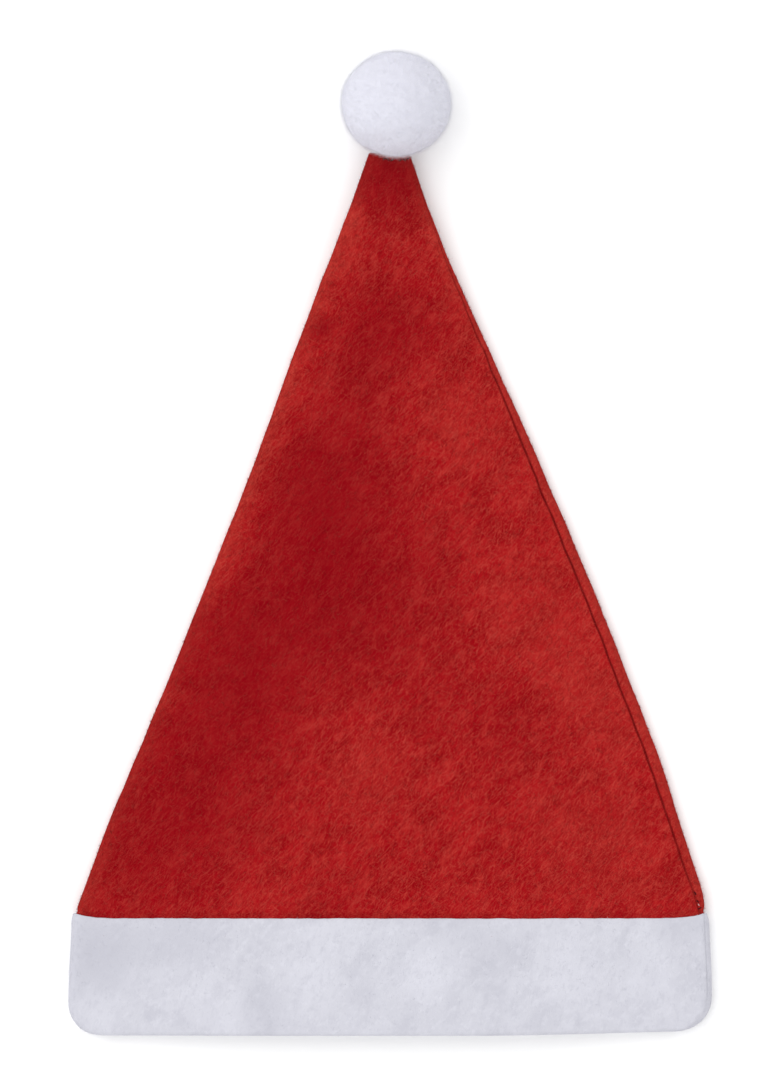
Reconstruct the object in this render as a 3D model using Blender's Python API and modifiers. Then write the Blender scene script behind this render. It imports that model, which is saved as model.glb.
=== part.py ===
"""Felt Santa hat lying flat on its back: a hollow crown, a folded brim band and a pompom.

Lengths are in metres and +Z is up. The floor is z = 0, the tip points towards +Y and the
origin is under the middle of the whole hat. Crown and band are flattened tubes, lofted through
rings of one section shape. The tables hold shares of the named sizes that stand above them.
"""

import math
from collections import namedtuple

import bmesh
import bpy
from mathutils import Vector

# Felt and fits
FELT_WALL = 0.0015
BAND_PLY = 0.0012
BAND_WALL = 0.0033
FIT_GAP = 0.0003

# Crown, from the hem line to the open tip
CROWN_LENGTH = 0.3420
CROWN_WIDTH = 0.2820
TIP_WIDTH = 0.0182
EDGE_HEIGHT = 0.0060
CROWN_RISE = 0.0055
PUFF_EDGE = 0.30
PUFF_EDGE_SHARE = 0.75
TIP_LIFT = 0.0050
TIP_HEIGHT = 0.0076
HEM_RAMP = 0.0240
HEM_SAG = 0.0022
HEM_SAG_REACH = 0.0550
HEM_CORNER_POWER = 12

# Side seam, a valley beside the right edge
SEAM_SETBACK = 0.0056
SEAM_WIDTH = 0.0024
SEAM_DEPTH = 0.0007

# Low swells and dents pressed into the front panel
SWELL_HEIGHT = 0.0012
SWELL_EDGE = 0.12
SWELL_HEM_START = 0.2

# Brim band
BAND_HEIGHT = 0.0549
BAND_FLARE = 0.0014
BAND_LAP = 0.0080
BAND_CORNER_LEFT = 0.0145
BAND_CORNER_RIGHT = 0.0155
BAND_BOTTOM_RISE = 0.0024
BAND_CLIMB_START = 0.25
BAND_EDGE_ROUND = 0.0004

# Pompom
POMPOM_WIDTH = 0.0508
POMPOM_LENGTH = 0.0480
POMPOM_HEIGHT = 0.0470
POMPOM_SHIFT = 0.0029
LOCK_COUNT = 60
LOCK_RELIEF = 0.0014
LOCK_HEIGHT_JITTER = 0.40
LOCK_TURN_JITTER = 0.30
LOCK_STAND_JITTER = 0.35
LOCK_HEIGHT_STEP = 5.1
LOCK_TURN_STEP = 2.3
LOCK_STAND_STEP = 3.7
NECK_LENGTH = 0.0070
NECK_TAPER = 0.2

# Mesh density
CROWN_RINGS = 25
FRONT_STEPS = 18
BACK_STEPS = 8
FOLD_STEPS = 4
RIGHT_FOLD_STEPS = 3
BALL_SUBDIVISIONS = 5
FOLDED_EDGE_STEPS = 4
SHARP_ANGLE = math.radians(60)

# Where the band's rings stand, as shares of its straight stretch and of its bottom corner
BAND_STRAIGHT_SHARES = (0.16, 0.36, 0.58, 0.80, 1.0)
BAND_CORNER_SHARES = (0.35, 0.62, 0.82)
BAND_INNER_SHARES = (0.62, 0.0)

# Plain colours and the roughness of the felt and the plush
FELT_RED = (0.35, 0.012, 0.015)
FELT_WHITE = (0.70, 0.70, 0.76)
PLUSH_WHITE = (0.78, 0.78, 0.86)
FELT_ROUGHNESS = 0.95
PLUSH_ROUGHNESS = 1.0

# Share of the crown's length above the hem, the bow of each edge outside the straight line
# from hem to tip as a share of CROWN_WIDTH, the rise as a share of CROWN_RISE, the way to
# the tip's lift and height, and the seam as shares of SEAM_SETBACK and SEAM_DEPTH.
CrownRow = namedtuple("CrownRow", "along left_bow right_bow rise tip seam_set seam_depth")
CROWN_ROWS = (
    CrownRow(0.00, 0.0014, 0.0040, 1.00, 0.00, 0.38, 1.0),
    CrownRow(0.03, 0.0034, 0.0128, 1.00, 0.00, 0.70, 1.0),
    CrownRow(0.10, 0.0047, 0.0183, 1.00, 0.00, 0.82, 1.0),
    CrownRow(0.20, 0.0003, 0.0256, 0.98, 0.00, 0.96, 1.0),
    CrownRow(0.32, -0.0038, 0.0266, 0.95, 0.00, 0.95, 1.0),
    CrownRow(0.45, -0.0062, 0.0236, 0.88, 0.00, 0.88, 1.0),
    CrownRow(0.58, -0.0078, 0.0176, 0.78, 0.00, 0.80, 1.0),
    CrownRow(0.70, -0.0043, 0.0090, 0.66, 0.02, 0.52, 0.9),
    CrownRow(0.80, -0.0030, 0.0010, 0.52, 0.20, 0.34, 0.7),
    CrownRow(0.90, -0.0027, -0.0042, 0.34, 0.65, 0.12, 0.4),
    CrownRow(1.00, 0.0000, 0.0000, 0.10, 1.00, 0.00, 0.0),
)

# Share of the band's height below the hem, flare of each side as a share of BAND_FLARE, rise
# as a share of CROWN_RISE, and the seam as shares of SEAM_SETBACK and SEAM_DEPTH.
BandRow = namedtuple("BandRow", "along left_flare right_flare rise seam_set seam_depth")
BAND_ROWS = (
    BandRow(0.00, 0.00, 0.00, 1.00, 0.34, 0.30),
    BandRow(0.14, 0.15, 0.40, 1.02, 0.35, 0.30),
    BandRow(0.32, 0.45, 0.85, 1.05, 0.36, 0.35),
    BandRow(0.60, 0.95, 1.05, 1.08, 0.36, 0.35),
    BandRow(0.80, 1.00, 1.08, 1.10, 0.34, 0.10),
    BandRow(1.00, 1.00, 1.10, 1.10, 0.34, 0.00),
)

# Middle of each swell across the front panel and along the crown, its reach as a share of
# CROWN_WIDTH and its height as a share of SWELL_HEIGHT, a dent where it is below zero.
SwellRow = namedtuple("SwellRow", "across along reach height")
SWELL_ROWS = (
    SwellRow(0.14, 0.13, 0.13, -0.9),
    SwellRow(0.47, 0.19, 0.15, 0.9),
    SwellRow(0.80, 0.12, 0.13, 0.7),
    SwellRow(0.68, 0.26, 0.11, -0.7),
    SwellRow(0.83, 0.39, 0.12, 1.0),
    SwellRow(0.12, 0.37, 0.12, -1.0),
    SwellRow(0.45, 0.41, 0.13, -0.5),
    SwellRow(0.70, 0.53, 0.09, -0.6),
    SwellRow(0.25, 0.60, 0.10, 0.5),
    SwellRow(0.62, 0.66, 0.09, 0.9),
    SwellRow(0.36, 0.75, 0.08, -0.9),
)

# Worked out from the sizes above
LAP_GAP = BAND_PLY + FIT_GAP
BALL_HALF = Vector((POMPOM_WIDTH / 2, POMPOM_LENGTH / 2, POMPOM_HEIGHT / 2))
TIP_TOP = TIP_LIFT + TIP_HEIGHT
TIP_BELOW_BALL = max(0.0, BALL_HALF.z - TIP_TOP)
BALL_SEAT = BALL_HALF.y * math.sqrt(1.0 - (TIP_BELOW_BALL / BALL_HALF.z) ** 2)
BALL_FROM_TIP = BALL_SEAT + FIT_GAP + LOCK_RELIEF / 2
OVERALL_LENGTH = BAND_HEIGHT + CROWN_LENGTH + BALL_FROM_TIP + BALL_HALF.y
HEM_Y = BAND_HEIGHT - OVERALL_LENGTH / 2
TIP_Y = HEM_Y + CROWN_LENGTH
BALL_CENTRE = Vector((POMPOM_SHIFT, TIP_Y + BALL_FROM_TIP, BALL_HALF.z))

Section = namedtuple("Section", "left right base height rise seam_set seam_depth")


def smooth_step(share):
    """Return the share eased in and out, held between 0 and 1."""
    share = min(1.0, max(0.0, share))
    return share * share * (3.0 - 2.0 * share)


def row_slope(rows, column, index):
    """Return a column's slope at one row, level where the column turns round."""
    if index == 0 or index == len(rows) - 1:
        other = rows[1] if index == 0 else rows[-2]
        here = rows[index]
        return (getattr(other, column) - getattr(here, column)) / (other.along - here.along)
    before, here, after = rows[index - 1], rows[index], rows[index + 1]
    rise_in = getattr(here, column) - getattr(before, column)
    rise_out = getattr(after, column) - getattr(here, column)
    if rise_in * rise_out <= 0.0:
        return 0.0
    return (rise_in + rise_out) / (after.along - before.along)


def table_value(rows, column, along):
    """Return a column's value at a share of the length, on a smooth curve through the rows."""
    along = min(rows[-1].along, max(rows[0].along, along))
    index = 0
    while index < len(rows) - 2 and along > rows[index + 1].along:
        index += 1
    low, high = rows[index], rows[index + 1]
    span = high.along - low.along
    share = (along - low.along) / span
    start, end = getattr(low, column), getattr(high, column)
    start_slope = row_slope(rows, column, index) * span
    end_slope = row_slope(rows, column, index + 1) * span
    eased = smooth_step(share)
    bend = share * (1.0 - share)
    return start + (end - start) * eased + bend * ((1.0 - share) * start_slope - share * end_slope)


def puff(across):
    """Return how far the front panel has risen at a share of its width."""
    near_edge = min(across, 1.0 - across)
    arch = math.sin(math.pi * across)
    return PUFF_EDGE_SHARE * smooth_step(near_edge / PUFF_EDGE) + (1.0 - PUFF_EDGE_SHARE) * arch


def swell(across, along):
    """Return the height of the swells and dents at a place on the crown's front panel."""
    total = 0.0
    width = CROWN_WIDTH * (1.0 - along) + TIP_WIDTH * along
    for row in SWELL_ROWS:
        off_x = (across - row.across) * width
        off_y = (along - row.along) * CROWN_LENGTH
        distance = math.hypot(off_x, off_y) / (row.reach * CROWN_WIDTH)
        total += row.height * (1.0 - smooth_step(distance))
    edge = smooth_step(min(across, 1.0 - across) / SWELL_EDGE)
    hem = smooth_step(along * CROWN_LENGTH / HEM_RAMP - SWELL_HEM_START)
    return SWELL_HEIGHT * total * edge * hem


def seam_arc(section, radius):
    """Return the seam's distance over the right fold from its outermost line."""
    if section.seam_set < radius:
        return radius * math.acos(1.0 - section.seam_set / radius)
    return radius * math.pi / 2 + section.seam_set - radius


def loop_places(section):
    """Return the places round one section, measured from the right edge over the front.

    Three of them stand in and beside the seam valley. Places below zero and past the front's
    own length are on the back.
    """
    radius = section.height / 2
    quarter = radius * math.pi / 2
    flat = section.right - section.left - 2 * radius
    seam = seam_arc(section, radius)
    half_seam = min(SEAM_WIDTH, section.height / 2) / 2
    first = seam - half_seam
    flat_start = max(seam + 2 * half_seam, quarter)
    places = [first, seam, seam + half_seam]
    places.append((seam + half_seam + flat_start) / 2)
    left_start = quarter + flat
    for step in range(FRONT_STEPS):
        places.append(flat_start + (left_start - flat_start) * step / FRONT_STEPS)
    for step in range(FOLD_STEPS):
        places.append(left_start + 2 * quarter * step / FOLD_STEPS)
    back_start = left_start + 2 * quarter
    for step in range(BACK_STEPS):
        places.append(back_start + flat * step / BACK_STEPS)
    back_end = back_start + flat
    turn = 2 * quarter + flat
    last = 2 * turn + first
    for step in range(RIGHT_FOLD_STEPS):
        places.append(back_end + (last - back_end) * step / RIGHT_FOLD_STEPS)
    return places, turn


def loop_points(section, y, along=None):
    """Return the points of one ring of a flattened tube at a place along the hat."""
    radius = section.height / 2
    quarter = radius * math.pi / 2
    flat = section.right - section.left - 2 * radius
    middle = section.base + radius
    places, turn = loop_places(section)
    points = []
    for index, place in enumerate(places):
        place = place % (2 * turn)
        if place <= quarter or place > 2 * turn - quarter:
            angle = place / radius if place <= quarter else (place - 2 * turn) / radius
            x = section.right - radius + radius * math.cos(angle)
            z = middle + radius * math.sin(angle)
            inward = Vector((-math.cos(angle), 0.0, -math.sin(angle)))
        elif place <= quarter + flat:
            x = section.right - radius - (place - quarter)
            across = (x - section.left - radius) / flat
            z = section.base + section.height + section.rise * puff(across)
            if along is not None:
                z += swell(across, along)
            inward = Vector((0.0, 0.0, -1.0))
        elif place <= 3 * quarter + flat:
            angle = math.pi / 2 + (place - quarter - flat) / radius
            x = section.left + radius + radius * math.cos(angle)
            z = middle + radius * math.sin(angle)
            inward = Vector((-math.cos(angle), 0.0, -math.sin(angle)))
        else:
            x = section.left + radius + (place - 3 * quarter - flat)
            z = section.base
            inward = Vector((0.0, 0.0, 1.0))
        point = Vector((x, y, z))
        if index == 1:
            point += inward * section.seam_depth
        points.append(point)
    return points


def settled(point):
    """Return the point moved as the hat settled: the hem's middle lies lower than its corners
    and the band's bottom edge climbs a little towards the right."""
    across = point.x / (CROWN_WIDTH / 2)
    if point.y >= HEM_Y:
        sag = 1.0 - smooth_step((point.y - HEM_Y) / HEM_SAG_REACH)
        climb = 0.0
    else:
        below = (HEM_Y - point.y) / BAND_HEIGHT
        sag = 1.0 - smooth_step(below)
        climb = smooth_step(across - BAND_CLIMB_START) * smooth_step(below)
    sag *= 1.0 - min(1.0, abs(across)) ** HEM_CORNER_POWER
    return Vector((point.x, point.y - HEM_SAG * sag + BAND_BOTTOM_RISE * climb, point.z))


def crown_section(along):
    """Return the crown's outer section at a share of its length above the hem."""
    half = (CROWN_WIDTH + (TIP_WIDTH - CROWN_WIDTH) * max(0.0, along)) / 2
    tip = max(0.0, table_value(CROWN_ROWS, "tip", along))
    hem_lift = 1.0 - smooth_step(along * CROWN_LENGTH / HEM_RAMP)
    return Section(
        left=-half - CROWN_WIDTH * table_value(CROWN_ROWS, "left_bow", along),
        right=half + CROWN_WIDTH * table_value(CROWN_ROWS, "right_bow", along),
        base=LAP_GAP * hem_lift + TIP_LIFT * tip,
        height=EDGE_HEIGHT + (TIP_HEIGHT - EDGE_HEIGHT) * tip,
        rise=CROWN_RISE * table_value(CROWN_ROWS, "rise", along),
        seam_set=SEAM_SETBACK * table_value(CROWN_ROWS, "seam_set", along),
        seam_depth=SEAM_DEPTH * table_value(CROWN_ROWS, "seam_depth", along),
    )


def inset_section(section, inset):
    """Return the section moved inwards by an even inset, with a smooth seam line."""
    return section._replace(
        left=section.left + inset,
        right=section.right - inset,
        base=section.base + inset,
        height=section.height - 2 * inset,
        seam_set=max(0.0, section.seam_set - inset),
        seam_depth=0.0 if inset > 0.0 else section.seam_depth,
    )


def corner_drop(radius, from_bottom):
    """Return how far a band edge has turned in round its bottom corner."""
    if from_bottom >= radius:
        return 0.0
    return radius - math.sqrt(max(0.0, radius ** 2 - (radius - from_bottom) ** 2))


def band_section(below, inset):
    """Return the band's section at a distance below the hem, moved inwards by an inset."""
    along = below / BAND_HEIGHT
    crown = crown_section(0.0)
    left_flare = BAND_FLARE * table_value(BAND_ROWS, "left_flare", along)
    right_flare = BAND_FLARE * table_value(BAND_ROWS, "right_flare", along)
    from_bottom = BAND_HEIGHT - below
    outer = Section(
        left=crown.left - LAP_GAP - left_flare + corner_drop(BAND_CORNER_LEFT, from_bottom),
        right=crown.right + LAP_GAP + right_flare - corner_drop(BAND_CORNER_RIGHT, from_bottom),
        base=crown.base - LAP_GAP,
        height=crown.height + 2 * LAP_GAP,
        rise=CROWN_RISE * table_value(BAND_ROWS, "rise", along),
        seam_set=SEAM_SETBACK * table_value(BAND_ROWS, "seam_set", along),
        seam_depth=SEAM_DEPTH * table_value(BAND_ROWS, "seam_depth", along),
    )
    return inset_section(outer, inset)


def band_profile():
    """Return the band's wall as distances below the hem and insets, round its whole edge."""
    fold = BAND_WALL / 2
    centre = BAND_HEIGHT - fold
    corner = max(BAND_CORNER_LEFT, BAND_CORNER_RIGHT)
    corner_start = BAND_HEIGHT - corner
    profile = [(BAND_EDGE_ROUND, 0.0)]
    for share in BAND_STRAIGHT_SHARES:
        profile.append((corner_start * share, 0.0))
    for share in BAND_CORNER_SHARES:
        profile.append((corner_start + (centre - corner_start) * share, 0.0))
    for step in range(FOLDED_EDGE_STEPS + 1):
        angle = math.pi * step / FOLDED_EDGE_STEPS
        profile.append((centre + fold * math.sin(angle), fold - fold * math.cos(angle)))
    for share in BAND_INNER_SHARES:
        profile.append((corner_start + (centre - corner_start) * share, BAND_WALL))
    ledge = BAND_LAP + FIT_GAP
    profile.append(((corner_start + ledge) / 2, BAND_WALL))
    profile.append((ledge, BAND_WALL))
    profile.append((ledge, BAND_PLY))
    profile.append((BAND_EDGE_ROUND, BAND_PLY))
    profile.append((0.0, BAND_PLY - BAND_EDGE_ROUND))
    profile.append((0.0, BAND_EDGE_ROUND))
    return profile


def loft(rings, close_rings):
    """Return a mesh of quads through the rings, closed round each ring."""
    mesh = bmesh.new()
    verts = [[mesh.verts.new(point) for point in ring] for ring in rings]
    pairs = list(zip(verts, verts[1:]))
    if close_rings:
        pairs.append((verts[-1], verts[0]))
    for lower, upper in pairs:
        for index, corner in enumerate(lower):
            beside = (index + 1) % len(lower)
            mesh.faces.new((corner, lower[beside], upper[beside], upper[index]))
    return mesh


def make_object(name, mesh, collection, material):
    """Return a new object with the mesh in it, its normals facing out and its material set."""
    bmesh.ops.recalc_face_normals(mesh, faces=mesh.faces)
    data = bpy.data.meshes.new(name)
    mesh.to_mesh(data)
    mesh.free()
    item = bpy.data.objects.new(name, data)
    collection.objects.link(item)
    data.materials.append(material)
    for face in data.polygons:
        face.use_smooth = True
    data.set_sharp_from_angle(angle=SHARP_ANGLE)
    return item


def make_material(name, colour, roughness):
    """Return a plain Principled material."""
    material = bpy.data.materials.new(name)
    material.use_nodes = True
    shader = material.node_tree.nodes["Principled BSDF"]
    shader.inputs["Base Color"].default_value = (*colour, 1.0)
    shader.inputs["Roughness"].default_value = roughness
    return material


def make_crown(collection):
    """Build the crown: one felt sheet, folded at the left, seamed at the right, open at hem
    and tip."""
    rings = []
    starts = [-BAND_LAP, -BAND_LAP / 2]
    starts += [CROWN_LENGTH * step / CROWN_RINGS for step in range(CROWN_RINGS + 1)]
    for start in starts:
        along = start / CROWN_LENGTH
        ring = loop_points(crown_section(along), HEM_Y + start, max(0.0, along))
        rings.append([settled(point) for point in ring])
    mesh = loft(rings, close_rings=False)
    felt = make_material("felt_red", FELT_RED, FELT_ROUGHNESS)
    crown = make_object("crown", mesh, collection, felt)
    wall = crown.modifiers.new("felt_wall", "SOLIDIFY")
    wall.thickness = FELT_WALL
    wall.offset = -1.0
    wall.use_even_offset = True
    wall.use_quality_normals = True
    return crown


def make_band(collection):
    """Build the brim band: a doubled felt strip, folded at the bottom, its outer ply lapping
    over the crown's hem."""
    rings = []
    for below, inset in band_profile():
        ring = loop_points(band_section(below, inset), HEM_Y - below)
        rings.append([settled(point) for point in ring])
    mesh = loft(rings, close_rings=True)
    felt = make_material("felt_white", FELT_WHITE, FELT_ROUGHNESS)
    return make_object("brim_band", mesh, collection, felt)


def lock_directions():
    """Return the way each of the pompom's locks points and how far it stands out."""
    golden = math.pi * (3.0 - math.sqrt(5.0))
    locks = []
    for index in range(LOCK_COUNT):
        place = index + 0.5 + LOCK_HEIGHT_JITTER * math.sin(LOCK_HEIGHT_STEP * index)
        height = 1.0 - 2.0 * place / LOCK_COUNT
        height = min(1.0, max(-1.0, height))
        across = math.sqrt(1.0 - height * height)
        turn = golden * index + LOCK_TURN_JITTER * math.sin(LOCK_TURN_STEP * index)
        way = Vector((across * math.cos(turn), across * math.sin(turn), height))
        locks.append((way, LOCK_STAND_JITTER * math.sin(LOCK_STAND_STEP * index)))
    return locks


def make_ball():
    """Return the pompom's ball as a mesh, each lock a low dome with creases between."""
    ball = bmesh.new()
    bmesh.ops.create_icosphere(ball, subdivisions=BALL_SUBDIVISIONS, radius=1.0)
    locks = lock_directions()
    lock_reach = 2.0 / math.sqrt(LOCK_COUNT)
    for vert in ball.verts:
        way = vert.co.normalized()
        dome = max(extra - ((way - lock).length / lock_reach) ** 2 for lock, extra in locks)
        size = 1.0 + LOCK_RELIEF * min(0.0, dome) / BALL_HALF.z
        vert.co = Vector([part * half * size for part, half in zip(way, BALL_HALF)])
    lowest = min(vert.co.z for vert in ball.verts)
    rest = Vector((BALL_CENTRE.x, BALL_CENTRE.y, -lowest))
    bmesh.ops.translate(ball, verts=ball.verts, vec=rest)
    return ball


def make_neck():
    """Return the gathered neck that is sewn into the crown's tip, as a mesh."""
    inset = FELT_WALL + FIT_GAP
    inside = inset_section(crown_section(1.0), inset)
    inside = inside._replace(rise=0.0)
    end = inset_section(inside, inside.height * NECK_TAPER)
    rings = [
        loop_points(end, TIP_Y - NECK_LENGTH),
        loop_points(inside, TIP_Y - NECK_LENGTH * (1.0 - NECK_TAPER)),
        loop_points(inside, TIP_Y),
        loop_points(inside, BALL_CENTRE.y),
    ]
    neck = loft(rings, close_rings=False)
    bmesh.ops.holes_fill(neck, edges=neck.edges, sides=0)
    return neck


def make_pompom(collection, cutters):
    """Build the pompom: a ball of low locks fused to the neck that holds it in the tip."""
    plush = make_material("plush_white", PLUSH_WHITE, PLUSH_ROUGHNESS)
    pompom = make_object("pompom", make_ball(), collection, plush)
    neck = make_object("pompom_neck", make_neck(), cutters, plush)
    neck.hide_render = True
    neck.display_type = "WIRE"
    fuse = pompom.modifiers.new("fuse_neck", "BOOLEAN")
    fuse.operation = "UNION"
    fuse.solver = "EXACT"
    fuse.object = neck
    return pompom


def main():
    """Clear the scene and build the hat's three pieces."""
    for item in list(bpy.data.objects):
        bpy.data.objects.remove(item, do_unlink=True)
    hat = bpy.data.collections.new("santa_hat")
    cutters = bpy.data.collections.new("cutters")
    bpy.context.scene.collection.children.link(hat)
    bpy.context.scene.collection.children.link(cutters)
    cutters.hide_render = True
    make_crown(hat)
    make_band(hat)
    make_pompom(hat, cutters)


main()
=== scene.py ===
import logging
import math
from dataclasses import dataclass, field, replace
from enum import Enum
from typing import NamedTuple, Optional, Sequence

import bmesh
import bpy
import numpy as np
from mathutils import Matrix, Vector, noise


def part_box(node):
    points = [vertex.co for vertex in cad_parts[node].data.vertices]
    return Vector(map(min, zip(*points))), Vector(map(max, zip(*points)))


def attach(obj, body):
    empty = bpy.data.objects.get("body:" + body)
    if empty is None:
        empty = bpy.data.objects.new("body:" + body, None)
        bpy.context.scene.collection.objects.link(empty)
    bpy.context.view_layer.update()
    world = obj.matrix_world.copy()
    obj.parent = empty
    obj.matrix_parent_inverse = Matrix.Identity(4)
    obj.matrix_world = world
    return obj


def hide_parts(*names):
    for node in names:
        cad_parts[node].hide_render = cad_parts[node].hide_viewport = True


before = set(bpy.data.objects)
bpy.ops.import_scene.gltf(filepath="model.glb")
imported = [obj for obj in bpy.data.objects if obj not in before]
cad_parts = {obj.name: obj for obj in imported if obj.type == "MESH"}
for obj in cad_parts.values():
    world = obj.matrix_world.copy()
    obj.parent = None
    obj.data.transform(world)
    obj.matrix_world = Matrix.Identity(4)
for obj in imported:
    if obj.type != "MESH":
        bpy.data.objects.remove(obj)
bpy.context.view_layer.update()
LOG = logging.getLogger("santa_hat")
MM = 0.001
FLOOR_CLEARANCE = 0.03 * MM


class CrownRow(NamedTuple):
    """One section of the crown, in shares of its length, width, rise and seam sizes."""

    along: float
    left_bow: float
    right_bow: float
    rise: float
    tip: float
    seam_set: float
    seam_depth: float


class BandRow(NamedTuple):
    """One section of the band, in shares of its height, flare, rise and seam sizes."""

    along: float
    left_flare: float
    right_flare: float
    rise: float
    seam_set: float
    seam_depth: float


class PatchRow(NamedTuple):
    """One soft round patch, by its middle, its reach as a share of the width and its strength."""

    across: float
    along: float
    reach: float
    strength: float


CROWN_ROWS = (
    CrownRow(0.00, 0.0014, 0.0040, 1.00, 0.00, 0.38, 0.5),
    CrownRow(0.03, 0.0034, 0.0128, 1.00, 0.00, 0.70, 0.7),
    CrownRow(0.10, 0.0047, 0.0183, 1.00, 0.00, 0.82, 0.9),
    CrownRow(0.20, 0.0003, 0.0256, 0.98, 0.00, 0.96, 1.0),
    CrownRow(0.32, -0.0038, 0.0266, 0.95, 0.00, 0.95, 1.0),
    CrownRow(0.45, -0.0062, 0.0236, 0.88, 0.00, 0.88, 1.0),
    CrownRow(0.58, -0.0078, 0.0176, 0.78, 0.00, 0.80, 1.0),
    CrownRow(0.70, -0.0043, 0.0090, 0.66, 0.02, 0.52, 0.9),
    CrownRow(0.80, -0.0030, 0.0010, 0.52, 0.20, 0.34, 0.7),
    CrownRow(0.90, -0.0027, -0.0042, 0.34, 0.65, 0.12, 0.4),
    CrownRow(1.00, 0.0000, 0.0000, 0.10, 1.00, 0.00, 0.0),
)

BAND_ROWS = (
    BandRow(0.00, 0.00, 0.00, 1.00, 0.34, 0.30),
    BandRow(0.14, 0.15, 0.40, 1.02, 0.35, 0.30),
    BandRow(0.32, 0.45, 0.85, 1.05, 0.36, 0.35),
    BandRow(0.60, 0.95, 1.05, 1.08, 0.36, 0.35),
    BandRow(0.80, 1.00, 1.08, 1.10, 0.34, 0.10),
    BandRow(1.00, 1.00, 1.10, 1.10, 0.34, 0.00),
)

SWELL_ROWS = (
    PatchRow(0.14, 0.13, 0.13, -0.9),
    PatchRow(0.47, 0.19, 0.15, 0.9),
    PatchRow(0.80, 0.12, 0.13, 0.7),
    PatchRow(0.68, 0.26, 0.11, -0.7),
    PatchRow(0.83, 0.39, 0.12, 1.0),
    PatchRow(0.12, 0.37, 0.12, -1.0),
    PatchRow(0.45, 0.41, 0.13, -0.5),
    PatchRow(0.70, 0.53, 0.09, -0.6),
    PatchRow(0.25, 0.60, 0.10, 0.5),
    PatchRow(0.62, 0.66, 0.09, 0.9),
    PatchRow(0.36, 0.75, 0.08, -0.9),
)

# Lighter and darker patches on the red felt: partly its own uneven tone, partly painted highlight,
# such as the lighter strip along the left fold
CROWN_TONES_AND_LIGHT = (
    PatchRow(0.10, 0.13, 0.28, -1.2),
    PatchRow(0.16, 0.36, 0.28, -1.5),
    PatchRow(0.22, 0.58, 0.20, -1.4),
    PatchRow(0.46, 0.45, 0.22, -0.9),
    PatchRow(0.44, 0.75, 0.17, -1.2),
    PatchRow(0.55, 0.30, 0.16, -0.4),
    PatchRow(0.74, 0.25, 0.12, -0.5),
    PatchRow(0.50, 0.97, 0.13, -1.5),
    PatchRow(0.45, 0.19, 0.12, 0.5),
    PatchRow(0.40, 0.03, 0.10, -0.5),
    PatchRow(0.84, 0.39, 0.17, 0.4),
    PatchRow(0.92, 0.28, 0.14, 0.5),
    PatchRow(0.65, 0.68, 0.12, 0.4),
    PatchRow(0.83, 0.64, 0.12, 0.3),
    PatchRow(0.85, 0.10, 0.16, 0.4),
    PatchRow(0.03, 0.90, 0.050, 0.9),
    PatchRow(0.05, 0.85, 0.045, 0.8),
    PatchRow(0.05, 0.80, 0.040, 0.7),
    PatchRow(0.07, 0.77, 0.025, -1.2),
    PatchRow(0.01, 0.70, 0.045, 0.6),
    PatchRow(0.01, 0.66, 0.045, 0.7),
    PatchRow(0.01, 0.62, 0.045, 0.8),
    PatchRow(0.01, 0.58, 0.045, 0.7),
    PatchRow(0.01, 0.54, 0.045, 0.8),
    PatchRow(0.01, 0.50, 0.045, 0.8),
    PatchRow(0.01, 0.46, 0.045, 0.7),
    PatchRow(0.01, 0.42, 0.040, 0.6),
    PatchRow(0.01, 0.28, 0.030, 0.8),
)

# Lighter and darker patches on the white band: partly its own uneven tone, partly painted shade,
# darker towards the left and the top and lighter to the right
BAND_TONES_AND_SHADE = (
    PatchRow(0.03, 0.30, 0.12, -1.0),
    PatchRow(0.16, 0.15, 0.10, -0.7),
    PatchRow(0.20, 0.75, 0.08, 0.3),
    PatchRow(0.30, 0.80, 0.08, -0.6),
    PatchRow(0.37, 0.45, 0.09, 0.8),
    PatchRow(0.45, 0.60, 0.06, -0.3),
    PatchRow(0.56, 0.45, 0.09, 1.0),
    PatchRow(0.67, 0.40, 0.07, -0.4),
    PatchRow(0.80, 0.50, 0.12, 0.6),
    PatchRow(0.93, 0.55, 0.08, 0.5),
    PatchRow(0.97, 0.06, 0.06, -0.6),
    PatchRow(0.60, 0.06, 0.12, -0.4),
)

# Stations near the hem in millimetres, close together where the stitches draw the felt in
CROWN_HEM_MM = (-3.0, -1.5, -0.7, 0.0, 0.6, 1.2, 1.9, 2.8, 4.0, 5.6)
CROWN_INNER_MM = (4.0, 1.9, 0.0, -1.5, -3.0)
BAND_HEM_MM = (0.3, 0.7, 1.2, 1.9, 2.8, 4.0, 5.6)
BAND_HIDDEN_MM = (4.0, 1.9, 0.7, 0.3)

# Where even spacing takes over, and the crown's one station within the lap as a share of it
EVEN_FROM = 7.6 * MM
LAP_MIDDLE = 0.6

# How round the felt's cut edges are, and how close two points are when they become one
CUT_EDGE_ROUND = 0.3 * MM
JOIN_DISTANCE = 0.002 * MM

# Lanes of the noise that keep the seam, its pucker and the edges apart
SEAM_NOISE_LANE = 7.0
PUCKER_NOISE_LANE = 3.0
EDGE_NOISE_SHIFT = Vector((9.0, 0.0, 0.0))


def smooth_step(share: np.ndarray) -> np.ndarray:
    """Ease shares in and out.

    Args:
        share: Values that are held between 0 and 1 first.

    Returns:
        The eased values.
    """
    held = np.clip(share, 0.0, 1.0)
    return held * held * (3.0 - 2.0 * held)


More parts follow.
